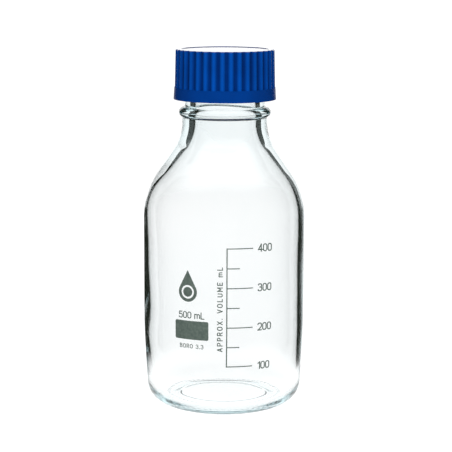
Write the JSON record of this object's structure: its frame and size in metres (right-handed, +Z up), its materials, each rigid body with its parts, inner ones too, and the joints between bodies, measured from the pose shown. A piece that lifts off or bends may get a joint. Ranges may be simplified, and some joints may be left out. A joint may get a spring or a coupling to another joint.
{
  "type": "reagent bottle",
  "caption": "Round clear glass laboratory bottle with sloping shoulders, screw neck, pouring ring, ribbed blue screw cap and printed volume scale.",
  "frame": {"origin": "centre of the foot, on the surface the bottle stands on", "axes": "+Z up along the bottle's axis; the printed volume scale faces -Y; +X to its right"},
  "size_m": [0.084, 0.0841, 0.1856],
  "materials": {
    "clear_glass": "fire-polished clear borosilicate",
    "ring_plastic": "moulded polypropylene, semi-gloss",
    "cap_plastic": "moulded polypropylene, semi-gloss",
    "silicone": "smooth matt silicone",
    "ptfe": "waxy white film",
    "enamel": "fired grey-green enamel"
  },
  "bodies": {
    "bottle": {"bottle": "clear_glass", "pouring_ring": "ring_plastic", "graduation_scale": "enamel", "graduation_numerals": "enamel", "scale_caption": "enamel", "capacity_text": "enamel", "glass_type_text": "enamel", "marking_field": "enamel", "droplet_mark": "enamel"},
    "seal": {"seal_disc": "silicone", "ptfe_facing": "ptfe"},
    "cap": {"screw_cap": "cap_plastic"}
  },
  "joints": [
    {"name": "cap_lift", "type": "slide", "parent": "bottle", "child": "seal", "axis": [0, 0, 1], "range_m": [0, 0.024]},
    {"name": "cap_turn", "type": "hinge", "parent": "seal", "child": "cap", "pos_m": [0, 0, 0], "axis": [0, 0, 1], "range_deg": [0, 2160]}
  ],
  "couplings": [
    {"joint": "cap_lift", "follows": "cap_turn", "m_per_rad": 0.00063662}
  ]
}
